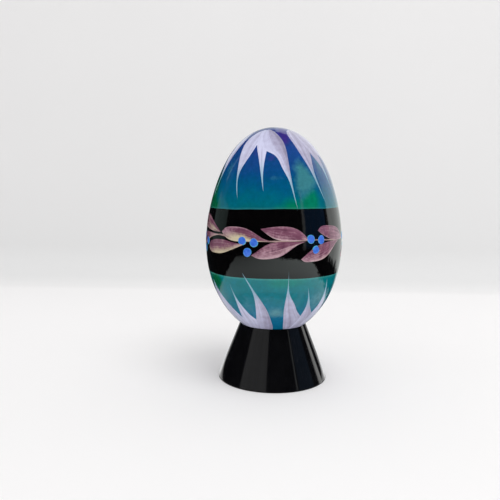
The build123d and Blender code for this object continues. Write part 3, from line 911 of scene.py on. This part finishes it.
def build_egg():
    """The painted layers, from the washes up to the berries."""
    black = band_paint()
    upper_wash = ground_paint("upper_wash_paint", UPPER_STOPS, UPPER_GREEN, UPPER_PAINTED_REFLECTION)
    lower_wash = ground_paint("lower_wash_paint", LOWER_STOPS, LOWER_GREEN, LOWER_PAINTED_REFLECTION)
    lower = ground_coat("lower_wash", egg_end(0.0), band_edge_low, lower_wash)
    band = ground_coat("band_wash", band_edge_low, band_edge_high, black)
    upper = ground_coat("upper_wash", band_edge_high, egg_end(EGG_LENGTH), upper_wash)
    stands_for(lower, "egg", "lower_ground_paint", "lower_ground_coat")
    stands_for(band, "egg", "band_paint", "black_band_coat")
    stands_for(upper, "egg", "upper_ground_paint", "upper_ground_coat")
    lilac = petal_paint()
    for end, sprays in (("upper", UPPER_SPRAYS), ("lower", LOWER_SPRAYS)):
        for i, (petals, tones, turn) in enumerate(sprays, 1):
            seed = 11.3 * i + len(end) * turn / 90
            piece = petal_strokes(f"{end}_spray_{i}", petals, tones, turn, seed, lilac)
            stands_for(piece, "egg", "petal_paint", f"{end}_petals_{i}")
    stands_for(garland_stem(stem_paint()), "egg", "stem_paint", "garland_stem")
    mauve, blue = leaf_paint(), berry_paint()
    sides = (("upper", UPPER_LEAF_RELIEF), ("lower", LOWER_LEAF_RELIEF))
    for i, (pair, turn) in enumerate(LEAF_PAIRS, 1):
        for leaf, (side, relief) in zip(pair, sides):
            seed = 5.1 * i + relief * 90
            piece = leaf_stroke(f"{side}_leaf_stroke_{i}", leaf, turn, relief, seed, mauve)
            stands_for(piece, "egg", "leaf_paint", f"{side}_leaf_{i}")
    for i, (group, turn) in enumerate(BERRY_GROUPS, 1):
        points, faces, data = gathered([berry(place, turn, i + 2 * j) for j, place in enumerate(group)])
        piece = make_piece(f"berry_dots_{i}", points, faces, blue, data)
        stands_for(piece, "egg", "berry_paint", f"berries_{i}")


def build_inside():
    """The shell and its lining under the paint, and the wax plug in the blow hole."""
    chalk = plain("eggshell_chalk", ((224, 216, 198), (238, 232, 218)), 900.0, 0.6, 0.00002)
    skin = plain("membrane_skin", ((226, 220, 200), (238, 234, 220)), 500.0, 0.7, 0.00002)
    wax = plain("beeswax", ((196, 150, 74), (214, 172, 96)), 1200.0, 0.45, 0.00003)
    outer = COAT_THICKNESS + LAYER_GAP
    shell = hollow_layer("shell_wall", outer, outer + SHELL_WALL, BLOW_HOLE_RADIUS, chalk)
    outer += SHELL_WALL + LAYER_GAP
    lining = hollow_layer("shell_lining", outer, outer + MEMBRANE, PLUG_HEAD_RADIUS + LAYER_GAP, skin)
    stands_for(shell, "egg", "shell", "eggshell")
    stands_for(lining, "egg", "membrane", "shell_membrane")
    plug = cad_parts["blow_hole_plug"].data
    plug.materials.clear()
    plug.materials.append(wax)


build_egg()
build_inside()
stands_for(stand_mesh(stand_plastic()), "stand", "stand_gloss", "stand")


# --- stage ---

WALL_Y = 0.235
SWEEP_RADIUS = 0.03
SWEEP_FOOT = 0.012
STAGE_HALF_WIDTH = 3.0
CAMERA_DISTANCE = 0.2404
CAMERA_HEIGHT = 0.0812
CAMERA_PITCH = 6.41
CAMERA_YAW = 2.44
CAMERA_ROLL = -0.5
CAMERA_LENS = 41.1
ROOM_STOPS = [(0.0, (248, 247, 247)), (0.3, (231, 231, 231)), (0.6, (232, 232, 232)), (1.0, (238, 237, 237))]
SKY_COLOUR = [1.0, 1.0, 1.0, 1.0]
SKY_STRENGTH = 0.82
ROOM_DARK = [0.008, 0.009, 0.011]
KEY_PLACE = (0.3, -0.35, 0.95)
KEY_SIZE = 0.6
KEY_POWER = 3.0


def build_room():
    """A pale desk that sweeps up into a pale wall, a little greyer."""
    bend = np.radians(np.linspace(0, 90, 13))
    start = WALL_Y - SWEEP_RADIUS
    profile = [(y, 0.0) for y in (-3.0, -1.0, -0.3, 0.0, start - SWEEP_FOOT)]
    profile += [(start + SWEEP_RADIUS * math.sin(b), SWEEP_RADIUS * (1 - math.cos(b))) for b in bend]
    profile += [(WALL_Y, z) for z in (0.06, 0.12, 0.3, 1.0, 2.5)]
    points = np.array([(x, y, z) for y, z in profile for x in (-STAGE_HALF_WIDTH, STAGE_HALF_WIDTH)], float)
    climb = np.repeat([0.0] * 5 + np.linspace(0.1, 0.6, len(bend)).tolist() + [0.7, 0.8, 0.9, 1.0, 1.0], 2)
    shader = Shader("pale_sweep", Roughness=0.8, Specular_IOR_Level=0.0)
    cloud = shader.noise(shader.place(), 6.0, 3.0)
    colour = shader.ramp(shader.attribute("climb"), ROOM_STOPS)
    shader.set("Base Color", shader.mix(1.0, colour, shader.span(cloud, 0.3, 0.7, 0.985, 1.0), "MULTIPLY"))
    room = make_piece("room_sweep", points, grid_faces(len(profile), 2), shader.material, {"climb": climb})
    room.visible_glossy = False


def build_world():
    """Soft light from all round. The gloss sees a dark room instead, lit by the reflectors below."""
    world = bpy.data.worlds.new("studio")
    bpy.context.scene.world = world
    world.use_nodes = True
    tree = world.node_tree
    soft = tree.nodes["Background"]
    soft.inputs["Color"].default_value = SKY_COLOUR
    soft.inputs["Strength"].default_value = SKY_STRENGTH
    dark = tree.nodes.new("ShaderNodeBackground")
    dark.inputs["Color"].default_value = ROOM_DARK + [1.0]
    path, either = tree.nodes.new("ShaderNodeLightPath"), tree.nodes.new("ShaderNodeMixShader")
    tree.links.new(path.outputs["Is Glossy Ray"], either.inputs[0])
    tree.links.new(soft.outputs[0], either.inputs[1])
    tree.links.new(dark.outputs[0], either.inputs[2])
    tree.links.new(either.outputs[0], tree.nodes["World Output"].inputs["Surface"])


def build_key():
    """A large soft lamp at the front right, so that the shadow lies a little to the left."""
    lamp = bpy.data.lights.new("key", "AREA")
    lamp.size, lamp.energy = KEY_SIZE, KEY_POWER
    key = in_scene("key", lamp)
    key.location = KEY_PLACE
    key.rotation_euler = (Vector((0, 0, 0.05)) - key.location).to_track_quat("-Z", "Y").to_euler()
    key.visible_glossy = False


# --- reflectors ---

# Windows, walls and screens round the table, which show only in the gloss of one body. Azimuth 0 is towards
# the front. (name, azimuth from and to, elevation from and to, brightness, colour, ragged edge in degrees,
# and how much its lower and upper edges rise per degree of azimuth, if they do)
REFLECTORS = {
    "egg": [
        ("window_right", (104, 180), (-12, 60), 0.98, (0.98, 1.02, 0.99), 4.0, -0.05),
        ("window_frame", (97, 105.5), (18, 70), 0.16, (0.9, 1.0, 1.0), 2.0),
        ("screen", (53, 96), (-5, 62), 0.17, (0.10, 0.42, 1.0), 1.0),
        ("screen_edge", (97, 100), (-5, 16), 0.45, (1.0, 1.0, 1.0), 1.0),
        ("door_edge", (48.5, 53), (-6, 30), 0.40, (0.95, 1.0, 1.0), 1.5),
        ("wall_left", (-122, -87), (-6, 15), 0.20, (0.80, 1.08, 1.02), 2.0),
        ("pillar_left", (-115, -102), (15, 44), 0.06, (0.60, 1.15, 1.10), 2.0),
        ("pillar_edge", (-117, -114.5), (13, 48), 0.75, (0.70, 1.10, 1.05), 1.5),
        ("wall_back", (-180, -150), (13, 44), 0.60, (0.95, 1.08, 1.02), 6.0),
    ],
    "stand": [
        ("wall_front", (-71, -12), (10, 36), 0.36, (1.0, 1.0, 1.0), 3.0),
        ("screen_low", (60, 98), (0, 34), 0.13, (0.35, 0.6, 1.0), 1.0),
        ("door_edge_low", (54, 60), (0, 40), 0.55, (0.95, 1.0, 1.0), 1.0),
        ("window_slit", (116, 129), (-8, 16), 1.4, (1.0, 1.0, 0.98), 3.0),
        ("wall_back_low", (-178, -150), (-18, 2), 0.30, (1.0, 1.0, 1.0), 2.0),
        ("window_low", (146, 178), (-16, 4), 0.45, (1.0, 1.0, 1.0), 2.0),
    ],
}
REFLECTOR_DISTANCE = 2.5
REFLECTOR_STEP = 2.0
REFLECTOR_BLUR = 1.2
LOWEST_ELEVATION = -60
HIGHEST_ELEVATION = 88
LAST_ELEVATION = 89

# The lit part of the table as the gloss sees it: (x, y, width of its ragged edge), in metres
TABLE_OUTLINE = [
    (-0.05, 0.06, 0.01), (-0.067, 0.057, 0.01), (-0.081, 0.034, 0.01), (-0.104, -0.004, 0.014),
    (-0.160, -0.054, 0.02), (-0.213, -0.118, 0.04), (-0.142, -0.220, 0.09), (0.0, -0.232, 0.09),
    (0.109, -0.180, 0.06), (0.178, -0.100, 0.05), (0.138, -0.050, 0.035), (0.106, -0.032, 0.035),
    (0.086, -0.014, 0.04), (0.066, 0.010, 0.05), (0.052, 0.05, 0.05),
]
TABLE_LIFT = 0.0002
TABLE_LIGHT = 0.95

# The strip of table close round the foot: its inner and outer radius in metres, and how bright it is
FOOT_STRIP = (0.0233, 0.06)
FOOT_STRIP_LIGHT = 1.1


class Reflector(Shader):
    """A material that glows through clear glass, so that it hides nothing behind it."""

    def __init__(self, name):
        super().__init__(name)
        self.tree.nodes.remove(self.surface)
        self.glow = self.node("Emission")
        both = self.node("AddShader", {0: self.glow.outputs[0], 1: self.node("BsdfTransparent").outputs[0]})
        self.put(both.outputs[0], self.tree.nodes["Material Output"].inputs["Surface"])
        self.material.cycles.emission_sampling = "NONE"

    def shine(self, strength, colour=(1.0, 1.0, 1.0, 1.0)):
        self.put(strength, self.glow.inputs["Strength"])
        self.put(colour, self.glow.inputs["Color"])

    def inside(self, value, limits):
        """1 between the limits and 0 outside them."""
        (low, high), blur = limits, REFLECTOR_BLUR
        falling = self.span(value, high - blur, high + blur, 1.0, 0.0)
        return self.math("MULTIPLY", self.span(value, low - blur, low + blur), falling)


def only_in_gloss(card, body):
    """Shows a card in the reflections of one body, and nowhere else."""
    for ray in ("camera", "diffuse", "transmission", "shadow", "volume_scatter"):
        setattr(card, "visible_" + ray, False)
    card.light_linking.receiver_collection = SEEN_IN[body]


def reflector(body, name, azimuths, elevations, brightness, tint, ragged, slope=0.0):
    """A patch of a far sphere round the object, with edges worn ragged."""
    shader = Reflector(name)
    place = shader.scaled(shader.place(), (1.0, 1.0, 0.45))
    wear = shader.math("MULTIPLY_ADD", shader.noise(place, 6.0, 5.0, 0.7), 4 * ragged, -2 * ragged)
    across = shader.math("ADD", shader.attribute("azimuth"), shader.math("MULTIPLY", wear, 0.3))
    along = shader.math("ADD", shader.attribute("elevation"), wear)
    mask = shader.math("MULTIPLY", shader.inside(across, azimuths), shader.inside(along, elevations))
    folds = shader.noise(shader.scaled(shader.place(), (1.0, 1.0, 0.1)), 5.0, 3.0, 0.6)
    folded = shader.span(folds, 0.25, 0.75, 0.85 * brightness, 1.15 * brightness)
    shader.shine(shader.math("MULTIPLY", mask, folded), tint + (1.0,))
    drop = abs(slope) * (azimuths[1] - azimuths[0])
    margin = REFLECTOR_BLUR + 2 * ragged + drop
    turns = np.arange(azimuths[0] - margin, azimuths[1] + margin + REFLECTOR_STEP, REFLECTOR_STEP)
    lowest = max(elevations[0] - margin, LOWEST_ELEVATION)
    highest = min(elevations[1] + margin, HIGHEST_ELEVATION)
    levels = np.arange(lowest, highest + REFLECTOR_STEP, REFLECTOR_STEP)
    turn, level = np.meshgrid(np.radians(turns), np.radians(levels.clip(max=LAST_ELEVATION)))
    ring = np.stack([np.cos(level) * np.sin(turn), -np.cos(level) * np.cos(turn), np.sin(level)], -1)
    centre = np.array([0, 0, (EGG_BOTTOM + EGG_LENGTH / 2) * MM])
    points = (ring * REFLECTOR_DISTANCE + centre).reshape(-1, 3)
    tilted = np.degrees(level) - slope * (np.degrees(turn) - azimuths[0])
    data = {"azimuth": np.degrees(turn).ravel(), "elevation": tilted.ravel()}
    only_in_gloss(make_piece(name, points, grid_faces(*turn.shape), shader.material, data), body)


def table_reflector():
    """The table as the egg's gloss sees it: brighter to the right, dimmer close to the stand as a painted
    shadow of the egg, and ragged where things stand on it.
    """
    shader = Reflector("table_light")
    place = shader.place()
    wear = shader.noise(shader.scaled(place, (1.0, 0.5, 1.0)), 85.0, 8.0, 0.8)
    wear = shader.math("MULTIPLY_ADD", wear, 2.4, -0.7)
    lit = shader.span(shader.math("SUBTRACT", wear, shader.attribute("reach")), -0.04, 0.04)
    side = shader.node("SeparateXYZ", {0: place}).outputs["X"]
    side = shader.span(side, -0.2, 0.16, 0.44 * TABLE_LIGHT, 1.3 * TABLE_LIGHT)
    # Painted shadow: the table's glow falls to 0.6 close to the stand, where the egg shades it
    away = shader.node("VectorMath", {0: place}, operation="LENGTH").outputs["Value"]
    side = shader.math("MULTIPLY", side, shader.span(away, 0.055, 0.13, 0.6, 1.0))
    shader.shine(shader.math("MULTIPLY", lit, side), srgb(240, 251, 248))
    inner = np.array(TABLE_OUTLINE)
    away = inner[:, :2] - inner[:, :2].mean(0)
    away /= np.linalg.norm(away, axis=1)[:, None]
    outer = inner[:, :2] + away * inner[:, 2:]
    flat = np.concatenate([inner[:, :2], outer, inner[:, :2].mean(0)[None]])
    points = np.column_stack([flat, np.full(len(flat), TABLE_LIFT)])
    ring = np.arange(len(inner))
    edge = strip_faces(ring, ring + len(inner), closed=True)
    faces = np.concatenate([fan_faces(ring, 2 * len(inner)), edge])
    reach = np.concatenate([np.full(len(inner), 0.1), np.full(len(inner), 0.85), [0.0]])
    only_in_gloss(make_piece("table_light", points, faces, shader.material, {"reach": reach}), "egg")


def table_by_foot():
    """The strip of table close round the foot, seen in the cone's lowest part."""
    shader = Reflector("table_by_foot")
    shader.shine(shader.span(shader.attribute("reach"), 0.0, 1.0, FOOT_STRIP_LIGHT, 0.0))
    turn = np.radians(np.arange(0, 360, 5))
    lift = np.full(len(turn), TABLE_LIFT)
    rings = [np.column_stack([r * np.sin(turn), -r * np.cos(turn), lift]) for r in FOOT_STRIP]
    ring = np.arange(len(turn))
    faces = strip_faces(ring, ring + len(turn), closed=True)
    data = {"reach": np.repeat([0.0, 1.0], len(turn))}
    only_in_gloss(make_piece("table_by_foot", np.concatenate(rings), faces, shader.material, data), "stand")


def build_camera():
    """The camera at the photograph's angle."""
    data = bpy.data.cameras.new("camera")
    data.lens = CAMERA_LENS
    data.clip_start = 0.01
    camera = in_scene("camera", data)
    camera.location = (0, -CAMERA_DISTANCE, CAMERA_HEIGHT)
    camera.rotation_euler = [math.radians(v) for v in (90 - CAMERA_PITCH, CAMERA_ROLL, CAMERA_YAW)]
    bpy.context.scene.camera = camera


build_room()
build_world()
build_key()
for body, rows in REFLECTORS.items():
    for row in rows:
        reflector(body, *row)
table_reflector()
table_by_foot()
build_camera()
bpy.context.scene.view_settings.view_transform = "Standard"
